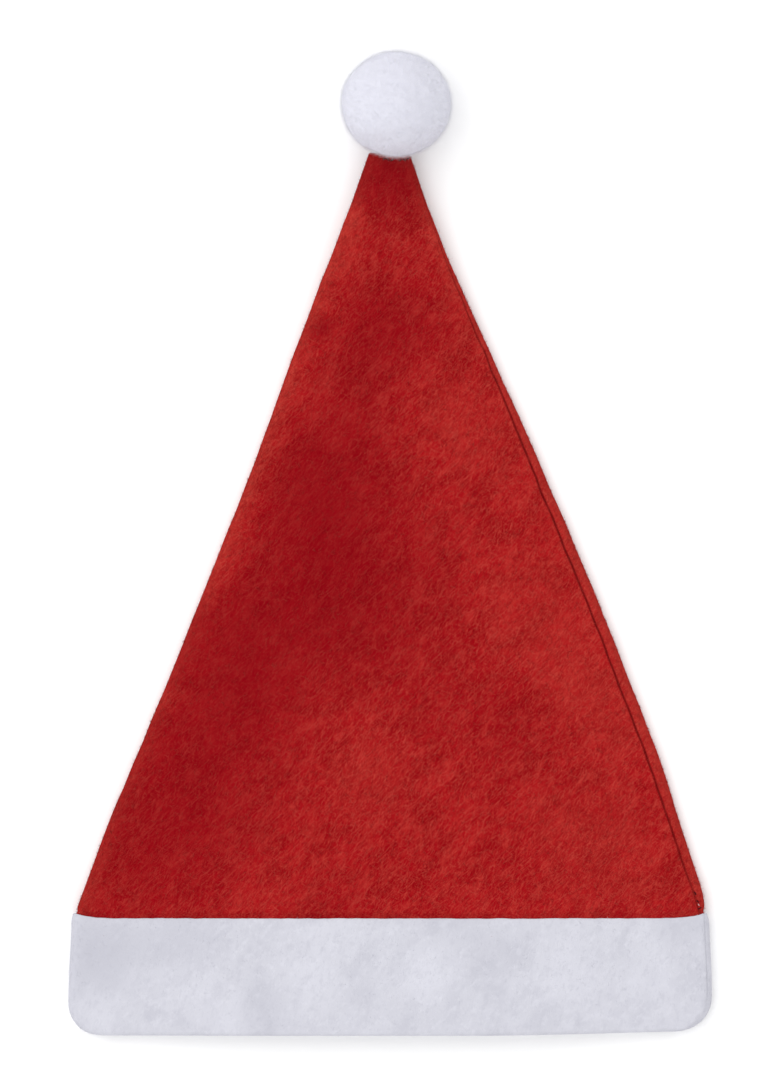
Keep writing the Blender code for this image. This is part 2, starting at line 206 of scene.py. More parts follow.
@dataclass(frozen=True)
class SmoothTable:
    """A short table whose columns are read on smooth curves through its rows."""

    rows: Sequence[NamedTuple]

    def slope(self, column: str, index: int) -> float:
        """Find a column's slope at a row, level where the column turns round.

        Args:
            column: The column's name.
            index: The row's number.

        Returns:
            The slope per share of the length.
        """
        rows = self.rows
        if index in (0, len(rows) - 1):
            other = rows[1] if index == 0 else rows[-2]
            here = rows[index]
            return (getattr(other, column) - getattr(here, column)) / (other.along - here.along)
        before, here, after = rows[index - 1], rows[index], rows[index + 1]
        rise_in = getattr(here, column) - getattr(before, column)
        rise_out = getattr(after, column) - getattr(here, column)
        if rise_in * rise_out <= 0.0:
            return 0.0
        return (rise_in + rise_out) / (after.along - before.along)

    def value(self, column: str, along: float) -> float:
        """Read a column at a share of the length.

        Args:
            column: The column's name.
            along: The share of the length.

        Returns:
            The column's value there.
        """
        rows = self.rows
        along = min(rows[-1].along, max(rows[0].along, along))
        index = 0
        while index < len(rows) - 2 and along > rows[index + 1].along:
            index += 1
        low, high = rows[index], rows[index + 1]
        span = high.along - low.along
        share = (along - low.along) / span
        start, end = getattr(low, column), getattr(high, column)
        bend_in = (1.0 - share) * self.slope(column, index) * span
        bend_out = share * self.slope(column, index + 1) * span
        eased = float(smooth_step(np.array(share)))
        return start + (end - start) * eased + share * (1.0 - share) * (bend_in - bend_out)


@dataclass(frozen=True)
class Section:
    """One cut across a flattened tube of felt, by its outer size and the valley of its seam."""

    left: float
    right: float
    base: float
    height: float
    rise: float
    seam_set: float
    seam_depth: float

    @property
    def radius(self) -> float:
        """Return the radius of the round folds at the two sides."""
        return self.height / 2

    @property
    def quarter(self) -> float:
        """Return the distance over half of a round fold."""
        return self.radius * math.pi / 2

    @property
    def flat(self) -> float:
        """Return the width of the panels between the folds."""
        return self.right - self.left - self.height

    @property
    def turn(self) -> float:
        """Return the distance once round the section."""
        return 2 * (2 * self.quarter + self.flat)

    def inset(self, amount: float) -> "Section":
        """Move the section evenly inwards.

        Args:
            amount: The distance that every side moves.

        Returns:
            The smaller section, with a plain seam line where it moved.
        """
        return replace(
            self,
            left=self.left + amount,
            right=self.right - amount,
            base=self.base + amount,
            height=self.height - 2 * amount,
            seam_set=max(0.0, self.seam_set - amount),
        )

    def seam_arc(self) -> float:
        """Find the seam's distance over the right fold from its outermost line.

        Returns:
            The distance along the felt.
        """
        if self.seam_set < self.radius:
            return self.radius * math.acos(1.0 - self.seam_set / self.radius)
        return self.quarter + self.seam_set - self.radius


@dataclass(frozen=True)
class LoopPlan:
    """How many columns of the cloth stand in each stretch of the loop round a flat tube.

    The seam's stretch has the same reach to both sides, less on a low tube, and the front's
    begins a few reaches away.
    """

    seam: int = 12
    shoulder: int = 3
    front: int = 130
    fold: int = 10
    back: int = 62
    under: int = 12
    seam_reach: float = 0.0015
    reach_per_height: float = 0.3
    front_from_seam: float = 1.5

    def count(self) -> int:
        """Return the number of faces round the loop."""
        return self.seam + self.shoulder + self.front + self.fold + self.back + self.under

    def places(self, section: Section) -> np.ndarray:
        """Space the columns round one section.

        Args:
            section: The section to go round.

        Returns:
            Distances from the right edge over the front, once round and back to the first.
        """
        quarter = section.quarter
        seam = section.seam_arc()
        reach = min(self.seam_reach, self.reach_per_height * section.height)
        flat_start = max(seam + self.front_from_seam * reach, quarter)
        left_start = quarter + section.flat
        back_start = left_start + 2 * quarter
        back_end = back_start + section.flat
        stretches = (
            (seam - reach, seam + reach, self.seam),
            (seam + reach, flat_start, self.shoulder),
            (flat_start, left_start, self.front),
            (left_start, back_start, self.fold),
            (back_start, back_end, self.back),
        )
        spaced = [np.linspace(a, b, count, endpoint=False) for a, b, count in stretches]
        last = section.turn + seam - reach
        spaced.append(np.linspace(back_end, last, self.under + 1))
        return np.concatenate(spaced)


@dataclass(frozen=True)
class HatSizes:
    """The hat's own sizes in metres, placed in the frame by the boxes of the CAD nodes."""

    hem_y: float
    tip_y: float
    band_height: float = 0.0549
    crown_width: float = 0.2820
    tip_width: float = 0.0182
    edge_height: float = 0.0060
    crown_rise: float = 0.0055
    puff_edge: float = 0.30
    puff_edge_share: float = 0.75
    tip_lift: float = 0.0050
    tip_height: float = 0.0076
    hem_ramp: float = 0.0240
    hem_sag: float = 0.0022
    hem_sag_reach: float = 0.0550
    hem_corner_power: float = 24.0
    band_bottom_rise: float = 0.0024
    band_climb_start: float = 0.25
    band_flare: float = 0.0014
    band_lap: float = 0.0080
    corner_left: float = 0.0145
    corner_right: float = 0.0155
    band_wall: float = 0.0033
    band_ply: float = 0.0012
    felt_wall: float = 0.0015
    fit_gap: float = 0.0003
    seam_setback: float = 0.0056
    seam_depth: float = 0.0008
    seam_width: float = 0.00045
    seam_wander: float = 0.0004
    seam_wander_spacing: float = 0.0080
    seam_pucker: float = 0.35
    seam_pucker_spacing: float = 0.0035
    swell_height: float = 0.0012
    swell_edge: float = 0.12
    swell_hem_start: float = 0.2
    hem_pinch: float = 0.0006
    hem_pinch_reach: float = 0.0020
    hem_groove: float = 0.0004
    hem_groove_at: float = 0.0014
    hem_groove_reach: float = 0.0005
    hem_wander: float = 0.00022
    hem_wander_reach: float = 0.0030
    hem_wander_spacing: float = 0.0055
    hem_wander_fine_spacing: float = 0.0026
    hem_wander_fine_share: float = 0.6
    ripple_fine: float = 0.00012
    ripple_fine_spacing: float = 0.0050
    ripple_broad: float = 0.00030
    ripple_broad_spacing: float = 0.0240
    ripple_fade: float = 0.0040
    edge_wander: float = 0.00035
    edge_wander_spacing: float = 0.0160
    fold_fuzz_and_sheen_reach: float = 0.0045

    @classmethod
    def from_frame(cls) -> "HatSizes":
        """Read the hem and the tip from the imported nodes' boxes.

        Returns:
            The hat's sizes.
        """
        band_low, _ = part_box("brim_band")
        _, crown_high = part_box("crown")
        return cls(hem_y=band_low[1] + cls.band_height, tip_y=crown_high[1])

    @property
    def crown_length(self) -> float:
        """Return the length from the hem to the tip."""
        return self.tip_y - self.hem_y

    @property
    def lap_gap(self) -> float:
        """Return how far the band's outside stands off the crown's at the hem."""
        return self.band_ply + self.fit_gap


class Side(Enum):
    """Which way the felt under a nap faces."""

    FRONT = 1
    BACK = -1


class Rows(NamedTuple):
    """The stations of one tube: where each ring lies and how deep in the wall."""

    distance: list[float]
    inset: list[float]


class Loop(NamedTuple):
    """Points once round a section, with the way into the wall and the place across the panel."""

    x: np.ndarray
    z: np.ndarray
    inward_x: np.ndarray
    inward_z: np.ndarray
    across: np.ndarray


class Ring(NamedTuple):
    """One ring of cloth: its points, how near each is to a side fold, its tone with painted light,
    and the painted shade of its seam.
    """

    points: np.ndarray
    fold: np.ndarray
    tone_and_light: np.ndarray
    seam_shade: np.ndarray


@dataclass
class FlatTube:
    """A tube of felt that lies flat, made from one rolled grid of cloth."""

    sizes: HatSizes
    plan: LoopPlan = field(default_factory=LoopPlan)
    name: str = "tube"
    tones_and_light: Sequence[PatchRow] = ()

    @property
    def length(self) -> float:
        """Return the tube's length away from the hem."""
        raise NotImplementedError

    def along(self, distance: float) -> float:
        """Return a distance above the hem as a share of the tube's length."""
        return distance / self.length

    def section(self, distance: float) -> Section:
        """Return the outer section at a distance above the hem."""
        raise NotImplementedError

    def rows(self) -> Rows:
        """Return the stations through which the cloth runs."""
        raise NotImplementedError

    def swell(self, across: np.ndarray, distance: float, width: float) -> np.ndarray:
        """Return how far the front panel swells at places across it."""
        return np.zeros_like(across)

    def patches(self, rows: Sequence[PatchRow], across: np.ndarray, distance: float,
                width: float) -> np.ndarray:
        """Add up soft round patches on the front panel.

        Args:
            rows: The patches.
            across: Places across the panel, from 0 at the left fold to 1 at the right.
            distance: How far the places lie above the hem.
            width: The panel's width there.

        Returns:
            The patches' strength at each place.
        """
        along = self.along(distance)
        total = np.zeros_like(across)
        for row in rows:
            off = np.hypot((across - row.across) * width, (along - row.along) * self.length)
            reach = row.reach * self.sizes.crown_width
            total += row.strength * (1.0 - smooth_step(off / reach))
        return total

    def puff(self, across: np.ndarray) -> np.ndarray:
        """Find how full the front panel is at places across it.

        Args:
            across: Places across the panel, from 0 at the left fold to 1 at the right.

        Returns:
            The share of the section's rise.
        """
        share = self.sizes.puff_edge_share
        near = np.minimum(across, 1.0 - across)
        full = share * smooth_step(near / self.sizes.puff_edge)
        return full + (1.0 - share) * np.sin(math.pi * across)

    def pinch(self, distance: float) -> float:
        """Find how far the stitches draw the felt in near the hem.

        Args:
            distance: How far the place lies above the hem.

        Returns:
            The distance that every side moves in.
        """
        sizes = self.sizes
        drawn = sizes.hem_pinch * math.exp(-((distance / sizes.hem_pinch_reach) ** 2))
        off = (distance - sizes.hem_groove_at) / sizes.hem_groove_reach
        return drawn + sizes.hem_groove * math.exp(-(off ** 2))

    def pucker(self, distance: float) -> float:
        """Return how deep the seam's valley is at a distance above the hem, about 1."""
        spot = Vector((0.0, distance / self.sizes.seam_pucker_spacing, PUCKER_NOISE_LANE))
        return 1.0 + self.sizes.seam_pucker * noise.noise(spot)

    def loop(self, section: Section, arc: np.ndarray, distance: float) -> Loop:
        """Go over the front, the left fold, the back and the right fold of a section.

        Args:
            section: The section.
            arc: Distances round it from its right edge.
            distance: How far the section lies above the hem.

        Returns:
            The points at those distances.
        """
        radius, flat, quarter = section.radius, section.flat, section.quarter
        right = (arc <= quarter) | (arc > section.turn - quarter)
        front = (arc > quarter) & (arc <= quarter + flat)
        left = (arc > quarter + flat) & (arc <= 3 * quarter + flat)
        stretches = [right | left, front]
        from_right = np.where(arc > section.turn / 2, arc - section.turn, arc)
        from_left = math.pi / 2 + (arc - quarter - flat) / radius
        angle = np.where(left, from_left, from_right / radius)
        centre = np.where(left, section.left + radius, section.right - radius)
        over_front = section.right - radius - (arc - quarter)
        over_back = section.left + radius + (arc - 3 * quarter - flat)
        x = np.select(stretches, [centre + radius * np.cos(angle), over_front], over_back)
        across = np.clip((x - section.left - radius) / flat, 0.0, 1.0)
        top = section.base + section.height + section.rise * self.puff(across)
        top += self.swell(across, distance, flat)
        middle = section.base + radius
        z = np.select(stretches, [middle + radius * np.sin(angle), top], section.base)
        inward_x = np.select(stretches, [-np.cos(angle), 0.0], 0.0)
        inward_z = np.select(stretches, [-np.sin(angle), -1.0], 1.0)
        return Loop(x, z, inward_x, inward_z, across)

    def ring(self, distance: float, inset: float) -> Ring:
        """Lay one ring of the cloth.

        Args:
            distance: How far the ring lies above the hem.
            inset: How deep in the wall the ring lies.

        Returns:
            The ring's points and what the felt looks like there.
        """
        sizes = self.sizes
        section = self.section(distance).inset(inset + self.pinch(distance))
        arc = np.mod(self.plan.places(section), section.turn)
        x, z, inward_x, inward_z, across = self.loop(section, arc, distance)
        seam_shade = np.zeros_like(x)
        if inset == 0.0:
            off = np.abs(arc - section.seam_arc())
            off = np.minimum(off, section.turn - off)
            valley = np.exp(-((off / sizes.seam_width) ** 2))
            pucker = self.pucker(distance)
            x += inward_x * section.seam_depth * pucker * valley
            z += inward_z * section.seam_depth * pucker * valley
            # How much painted shade the seam's valley gets: more where the valley is deeper
            seam_shade = valley * pucker * min(1.0, section.seam_depth / sizes.seam_depth)
        points = np.stack([x, np.full_like(x, sizes.hem_y + distance), z], axis=1)
        # How near each point is to a side fold, for the fuzz that grows there and the painted
        # highlight on it
        edge = np.minimum(x - section.left, section.right - x)
        fold = np.exp(-((edge / sizes.fold_fuzz_and_sheen_reach) ** 2))
        tone_and_light = self.patches(self.tones_and_light, across, distance, section.flat)
        return Ring(points, fold, tone_and_light, seam_shade)

    def settle(self, points: np.ndarray, distance: float) -> None:
        """Move a ring as the hat settled, with the hem's sag, its wander and the felt's ripples.

        Args:
            points: The ring's points, moved in place.
            distance: How far the ring lies above the hem.
        """
        sizes = self.sizes
        across = points[:, 0] / (sizes.crown_width / 2)
        below = max(0.0, -distance) / sizes.band_height
        reach = sizes.hem_sag_reach if distance > 0.0 else sizes.band_height
        sag = float(1.0 - smooth_step(np.array(abs(distance) / reach)))
        climb = smooth_step(across - sizes.band_climb_start) * float(smooth_step(np.array(below)))
        middle = 1.0 - np.clip(np.abs(across), 0.0, 1.0) ** sizes.hem_corner_power
        points[:, 1] -= sizes.hem_sag * sag * middle
        points[:, 1] += sizes.band_bottom_rise * climb
        near_hem = math.exp(-((distance / sizes.hem_wander_reach) ** 2))
        lifted = smooth_step(points[:, 2] / sizes.ripple_fade)
        for point, free in zip(points, lifted):
            place = Vector(point)
            drift = noise.noise(place / sizes.hem_wander_spacing)
            fine_drift = noise.noise(place / sizes.hem_wander_fine_spacing)
            drift += sizes.hem_wander_fine_share * fine_drift
            point[1] += near_hem * sizes.hem_wander * drift
            broad = sizes.ripple_broad * noise.noise(place / sizes.ripple_broad_spacing)
            fine = sizes.ripple_fine * noise.noise(place / sizes.ripple_fine_spacing)
            point[2] += free * (broad + fine)
            strayed = noise.noise(place / sizes.edge_wander_spacing + EDGE_NOISE_SHIFT)
            point[0] += sizes.edge_wander * strayed

    def build(self) -> bpy.types.Object:
        """Roll a grid of cloth into the tube and close it where its edges meet.

        Returns:
            The tube's object.
        """
        rows = self.rows()
        around, along = self.plan.count(), len(rows.distance) - 1
        mesh = bmesh.new()
        bmesh.ops.create_grid(mesh, x_segments=around, y_segments=along, size=0.5)
        mesh.verts.ensure_lookup_table()
        layers = [mesh.verts.layers.float.new(name) for name in ("fold", "tone_and_light", "seam_shade")]
        for row, (distance, inset) in enumerate(zip(rows.distance, rows.inset)):
            ring = self.ring(distance, inset)
            self.settle(ring.points, distance)
            for column in range(around + 1):
                vert = mesh.verts[row * (around + 1) + column]
                vert.co = ring.points[column]
                for layer, values in zip(layers, ring[1:]):
                    vert[layer] = values[column]
        bmesh.ops.remove_doubles(mesh, verts=mesh.verts, dist=JOIN_DISTANCE)
        bmesh.ops.recalc_face_normals(mesh, faces=mesh.faces)
        return make_object(self.name, mesh)


@dataclass
class Crown(FlatTube):
    """The red crown: one felt sheet, folded at the left and seamed beside the right edge."""

    name: str = "crown_felt"
    tones_and_light: Sequence[PatchRow] = CROWN_TONES_AND_LIGHT
    table: SmoothTable = SmoothTable(CROWN_ROWS)
    outer_rings: int = 130
    inner_rings: int = 50

    @property
    def length(self) -> float:
        """Return the crown's length from the hem to the tip."""
        return self.sizes.crown_length

    def section(self, distance: float) -> Section:
        """Find the crown's outer section.

        Args:
            distance: How far the section lies above the hem.

        Returns:
            The section.
        """
        sizes, table = self.sizes, self.table
        along = self.along(distance)
        narrowed = (sizes.tip_width - sizes.crown_width) * max(0.0, along)
        half = (sizes.crown_width + narrowed) / 2
        tip = max(0.0, table.value("tip", along))
        hem_lift = 1.0 - float(smooth_step(np.array(distance / sizes.hem_ramp)))
        return Section(
            left=-half - sizes.crown_width * table.value("left_bow", along),
            right=half + sizes.crown_width * table.value("right_bow", along),
            base=sizes.lap_gap * hem_lift + sizes.tip_lift * tip,
            height=sizes.edge_height + (sizes.tip_height - sizes.edge_height) * tip,
            rise=sizes.crown_rise * table.value("rise", along),
            seam_set=sizes.seam_setback * table.value("seam_set", along) + self.wander(distance),
            seam_depth=sizes.seam_depth * table.value("seam_depth", along),
        )

    def wander(self, distance: float) -> float:
        """Return how far the seam strays from its line at a distance above the hem."""
        spot = Vector((0.0, SEAM_NOISE_LANE, distance / self.sizes.seam_wander_spacing))
        return self.sizes.seam_wander * noise.noise(spot)

    def rows(self) -> Rows:
        """Set the stations up the outside, over the tip's rim and down the inside.

        Returns:
            The stations.
        """
        sizes, edge = self.sizes, CUT_EDGE_ROUND
        length, lap, wall = sizes.crown_length, sizes.band_lap, sizes.felt_wall
        near = [-lap, -LAP_MIDDLE * lap] + [station * MM for station in CROWN_HEM_MM]
        upper = list(np.linspace(EVEN_FROM, length - edge, self.outer_rings))
        inner = list(np.linspace(length - edge, EVEN_FROM, self.inner_rings))
        inner += [station * MM for station in CROWN_INNER_MM] + [-lap]
        distance = near + upper + [length, length] + inner + [-lap]
        inset = [0.0] * (len(near) + len(upper)) + [edge, wall - edge] + [wall] * len(inner) + [0.0]
        return Rows(distance, inset)

    def swell(self, across: np.ndarray, distance: float, width: float) -> np.ndarray:
        """Find how far the crown's front panel swells.

        Args:
            across: Places across the panel, from 0 at the left fold to 1 at the right.
            distance: How far the places lie above the hem.
            width: The panel's width there.

        Returns:
            The swell's height at each place, below zero in a dent.
        """
        sizes = self.sizes
        total = self.patches(SWELL_ROWS, across, distance, width)
        near = smooth_step(np.minimum(across, 1.0 - across) / sizes.swell_edge)
        ramp = distance / sizes.hem_ramp - sizes.swell_hem_start
        fade = float(smooth_step(np.array(ramp)))
        return sizes.swell_height * total * near * fade


@dataclass
class BrimBand(FlatTube):
    """The white band: one felt strip, folded at the bottom, its two plies a little apart."""

    name: str = "brim_felt"
    tones_and_light: Sequence[PatchRow] = BAND_TONES_AND_SHADE
    table: SmoothTable = SmoothTable(BAND_ROWS)
    outer_rings: int = 14
    inner_rings: int = 10
    hidden_rings: int = 6
    corner_rings: int = 8
    fold_steps: int = 12

    @property
    def length(self) -> float:
        """Return the band's height."""
        return self.sizes.band_height

    def along(self, distance: float) -> float:
        """Return how far below the hem a place lies, as a share of the band's height."""
        return -distance / self.length

    def corner(self, radius: float, from_bottom: float) -> float:
        """Find how far an edge has turned in round its bottom corner.

        Args:
            radius: The corner's radius.
            from_bottom: How far the place lies above the bottom fold.

        Returns:
            The distance from the straight edge.
        """
        if from_bottom >= radius:
            return 0.0
        return radius - math.sqrt(max(0.0, radius ** 2 - (radius - from_bottom) ** 2))

    def section(self, distance: float) -> Section:
        """Find the band's outer section, which stands off the crown's at the hem.

        Args:
            distance: How far the section lies above the hem, below zero here.

        Returns:
            The section.
        """
        sizes, table = self.sizes, self.table
        along = self.along(distance)
        from_bottom = sizes.band_height + distance
        crown = Crown(sizes).section(0.0)
        left_flare = sizes.band_flare * table.value("left_flare", along)
        right_flare = sizes.band_flare * table.value("right_flare", along)
        turn_left = self.corner(sizes.corner_left, from_bottom)
        turn_right = self.corner(sizes.corner_right, from_bottom)
        return Section(
            left=crown.left - sizes.lap_gap - left_flare + turn_left,
            right=crown.right + sizes.lap_gap + right_flare - turn_right,
            base=crown.base - sizes.lap_gap,
            height=crown.height + 2 * sizes.lap_gap,
            rise=sizes.crown_rise * table.value("rise", along),
            seam_set=sizes.seam_setback * table.value("seam_set", along),
            seam_depth=sizes.seam_depth * table.value("seam_depth", along),
        )

    def rows(self) -> Rows:
        """Set the stations down the outer ply, round the fold, up the inner ply and back.

        Returns:
            The stations, with those between the two plies.
        """
        sizes = self.sizes
        height, wall, ply = sizes.band_height, sizes.band_wall, sizes.band_ply
        fold = wall / 2
        centre = height - fold
        corner_start = height - max(sizes.corner_left, sizes.corner_right)
        ledge = sizes.band_lap + sizes.fit_gap
        # Down the outer ply and into the corners
        outside = [station * MM for station in BAND_HEM_MM]
        outside += list(np.linspace(EVEN_FROM, corner_start, self.outer_rings))
        turns = self.corner_rings + 1
        turning = [corner_start + (centre - corner_start) * math.sin(math.pi / 2 * step / turns)
                   for step in range(1, turns)]
        below = outside + turning
        inset = [0.0] * len(below)
        # Round the bottom fold
        for step in range(self.fold_steps + 1):
            angle = math.pi * step / self.fold_steps
            below.append(centre + fold * math.sin(angle))
            inset.append(fold - fold * math.cos(angle))
        # Up the inner ply to its cut edge, just below the crown's lap
        inner = turning[::-2] + list(np.linspace(corner_start, ledge, self.inner_rings))
        below += inner
        inset += [wall] * len(inner)
        # Down between the plies, round inside the fold and up again
        between = list(np.linspace(ledge, corner_start, self.hidden_rings)) + turning[1::2]
        below += between
        inset += [wall - ply] * len(between)
        thin = fold - ply
        for step in range(self.hidden_rings + 1):
            angle = math.pi * (1 - step / self.hidden_rings)
            below.append(centre + thin * math.sin(angle))
            inset.append(fold - thin * math.cos(angle))
        back = turning[::-2] + list(np.linspace(corner_start, EVEN_FROM, self.hidden_rings))
        back += [station * MM for station in BAND_HIDDEN_MM]
        below += back
        inset += [ply] * len(back)
        # Over the outer ply's cut edge at the hem
        below += [0.0, 0.0, CUT_EDGE_ROUND]
        inset += [ply - CUT_EDGE_ROUND, CUT_EDGE_ROUND, 0.0]
        return Rows([-value for value in below], inset)


def link_object(name: str, data: bpy.types.ID) -> bpy.types.Object:
    """Put a mesh, lamp or camera in an object of the scene, at the origin."""
    item = bpy.data.objects.new(name, data)
    bpy.context.scene.collection.objects.link(item)
    return item


def make_object(name: str, mesh: bmesh.types.BMesh) -> bpy.types.Object:
    """Put a finished mesh in a smooth shaded object at the origin.

    Args:
        name: The object's name.
        mesh: The mesh, which is freed.

    Returns:
        The new object.
    """
    data = bpy.data.meshes.new(name)
    mesh.to_mesh(data)
    mesh.free()
    data.polygons.foreach_set("use_smooth", [True] * len(data.polygons))
    return link_object(name, data)


def read_rows(items: bpy.types.bpy_prop_collection, name: str, width: int,
              kind: type = float) -> np.ndarray:
    """Read one property of many items.

    Args:
        items: The items, such as a mesh's vertices.
        name: The property.
        width: How many numbers it holds.
        kind: The numbers' type.

    Returns:
        One row for each item.
    """
    values = np.empty(len(items) * width, dtype=kind)
    items.foreach_get(name, values)
    return values.reshape(-1, width)


# The faces of one fibre: a ring, a bend and a point, or a ring and a point
BENT_SPIKE = ((0, 2, 1), (0, 1, 4), (0, 4, 3), (1, 2, 5), (1, 5, 4),
              (2, 0, 3), (2, 3, 5), (3, 4, 6), (4, 5, 6), (5, 3, 6))
STRAIGHT_SPIKE = ((0, 2, 1), (0, 1, 3), (1, 2, 3), (2, 0, 3))

# How much the fibres of one nap differ, as shares of its own lift, length and thickness
LIFT_SPREAD = (0.5, 1.5)
LENGTH_SPREAD = (0.55, 1.35)
THICKNESS_SPREAD = (0.7, 1.2)

# The upward part of a normal below which cloth counts as the back, or as a steep side
BACK_NORMAL = -0.35
STEEP_NORMAL = 0.2

# On a steep side a fibre runs up, and leans this much the way it would lie elsewhere
STEEP_LEAN = 0.8

# A bent fibre's thickness at the bend and its rise after it, as shares of those at its root
BEND_THICKNESS = 0.75
BEND_RISE = 0.1

# A direction along which no fibre runs, from which the three sides of a fibre are set out
ASIDE = np.array([[0.31, 0.52, 0.79]])
UP = np.array([[0.0, 0.0, 1.0]])


def unit_rows(rows: np.ndarray, least: float = 1e-9) -> np.ndarray:
    """Scale each row of an array that is longer than the least length to a length of 1."""
    return rows / np.maximum(np.linalg.norm(rows, axis=1, keepdims=True), least)


def spike_ring(centre: np.ndarray, way: np.ndarray, radius: np.ndarray) -> list[np.ndarray]:
    """Set three points round each fibre.

    Args:
        centre: The fibres' middles there.
        way: Which way each fibre runs.
        radius: The fibres' radii.

    Returns:
        The first, second and third point of every fibre.
    """
    across = unit_rows(np.cross(way, ASIDE))
    other = np.cross(way, across)
    turns = [2 * math.pi * step / 3 for step in range(3)]
    return [centre + radius * (math.cos(turn) * across + math.sin(turn) * other) for turn in turns]


@dataclass(frozen=True)
class Nap:
    """Fine loose fibres that stand or lie on a piece of cloth, drawn coarser than real ones."""

    name: str
    count: int
    length: float
    thickness: float
    lift: float
    curl: float
    grain: float = 0.0
    scatter: float = math.pi
    side: Optional[Side] = None
    seed: int = 1
    fold_gain: float = 0.0
    bent: bool = True

    def weights(self, mesh: bpy.types.Mesh, corners: np.ndarray, unit: np.ndarray,
                area: np.ndarray) -> np.ndarray:
        """Weigh the triangles of the cloth by how many fibres grow there.

        Args:
            mesh: The cloth's mesh.
            corners: Each triangle's vertices.
            unit: Each triangle's normal.
            area: Each triangle's size.

        Returns:
            A weight for each triangle, more near the side folds, where rubbed felt is fuzzier.
        """
        weight = area.copy()
        if self.fold_gain > 0.0:
            fold = read_rows(mesh.attributes["fold"].data, "value", 1)
            weight *= 1.0 + self.fold_gain * fold[corners, 0].mean(axis=1)
        if self.side is Side.FRONT:
            weight[unit[:, 2] < BACK_NORMAL] = 0.0
        if self.side is Side.BACK:
            weight[unit[:, 2] >= BACK_NORMAL] = 0.0
        return weight

    def roots(self, carrier: bpy.types.Object,
              rng: np.random.Generator) -> tuple[np.ndarray, np.ndarray]:
        """Scatter the fibres' roots over the cloth.

        Args:
            carrier: The cloth.
            rng: The seeded source of chance.

        Returns:
            The roots and the cloth's normals there.
        """
        mesh = carrier.data
        mesh.calc_loop_triangles()
        corners = read_rows(mesh.loop_triangles, "vertices", 3, np.int64)
        triangles = read_rows(mesh.vertices, "co", 3)[corners]
        normals = np.cross(triangles[:, 1] - triangles[:, 0], triangles[:, 2] - triangles[:, 0])
        unit = unit_rows(normals, 1e-12)
        weight = self.weights(mesh, corners, unit, np.linalg.norm(normals, axis=1))
        chosen = rng.choice(len(weight), self.count, p=weight / weight.sum())
        first, second = rng.random(self.count), rng.random(self.count)
        over = first + second > 1.0
        first[over], second[over] = 1.0 - first[over], 1.0 - second[over]
        corner = triangles[chosen]
        root = corner[:, 0] + first[:, None] * (corner[:, 1] - corner[:, 0])
        root += second[:, None] * (corner[:, 2] - corner[:, 0])
        return root, unit[chosen]

    def spread(self, limits: tuple[float, float], rng: np.random.Generator) -> np.ndarray:
        """Draw one number between two limits for each fibre."""
        return rng.uniform(*limits, self.count)[:, None]

    def lie(self, normal: np.ndarray, rng: np.random.Generator) -> np.ndarray:
        """Choose the way in which each fibre lies on the cloth.

        Args:
            normal: The cloth's normal at each root.
            rng: The seeded source of chance.

        Returns:
            A direction along the cloth for each fibre.
        """
        heading = self.grain + self.scatter * rng.uniform(-1.0, 1.0, self.count)
        lie = np.stack([np.cos(heading), np.sin(heading), np.zeros(self.count)], axis=1)
        steep = np.abs(normal[:, 2:3]) < STEEP_NORMAL
        lie = np.where(steep, UP + STEEP_LEAN * lie, lie)
        return unit_rows(lie - normal * np.sum(lie * normal, axis=1, keepdims=True))

    def rings(self, root: np.ndarray, normal: np.ndarray,
              rng: np.random.Generator) -> list[np.ndarray]:
        """Shape the fibres, each a spike with three sides and perhaps a bend.

        Args:
            root: Where the fibres grow.
            normal: The cloth's normal there.
            rng: The seeded source of chance.

        Returns:
            The first corner of every fibre, then the second, and so on to the tips.
        """
        lie = self.lie(normal, rng)
        lift = self.lift * self.spread(LIFT_SPREAD, rng)
        length = self.length * self.spread(LENGTH_SPREAD, rng)
        thick = self.thickness * self.spread(THICKNESS_SPREAD, rng) / 2
        start = root - normal * self.thickness
        first = lie * np.cos(lift) + normal * np.sin(lift)
        found = spike_ring(start, first, thick)
        if not self.bent:
            return found + [start + first * length]
        curl = self.curl * self.spread((-1.0, 1.0), rng)
        middle = start + first * length / 2 + normal * self.thickness
        onward = lie * np.cos(curl) + np.cross(normal, lie) * np.sin(curl)
        second = unit_rows(onward + BEND_RISE * lift * normal)
        found += spike_ring(middle, unit_rows(first + second), BEND_THICKNESS * thick)
        return found + [middle + second * length / 2]

    def grow(self, carrier: bpy.types.Object) -> bpy.types.Object:
        """Grow the fibres, joined in one mesh that stays above the floor.

        Args:
            carrier: The cloth.

        Returns:
            The nap's object.
        """
        rng = np.random.default_rng(self.seed)
        root, normal = self.roots(carrier, rng)
        rings = self.rings(root, normal, rng)
        corners = len(rings)
        points = np.stack(rings, axis=1).reshape(-1, 3)
        points[:, 2] = np.maximum(points[:, 2], FLOOR_CLEARANCE)
        spike = np.array(BENT_SPIKE if self.bent else STRAIGHT_SPIKE)
        faces = (np.arange(self.count)[:, None, None] * corners + spike).reshape(-1, 3)
        data = bpy.data.meshes.new(self.name)
        data.from_pydata(points.tolist(), [], faces.tolist())
        data.polygons.foreach_set("use_smooth", [True] * len(data.polygons))
        shade = data.attributes.new("shade", "FLOAT", "POINT")
        shade.data.foreach_set("value", np.repeat(rng.random(self.count), corners))
        return link_object(self.name, data)


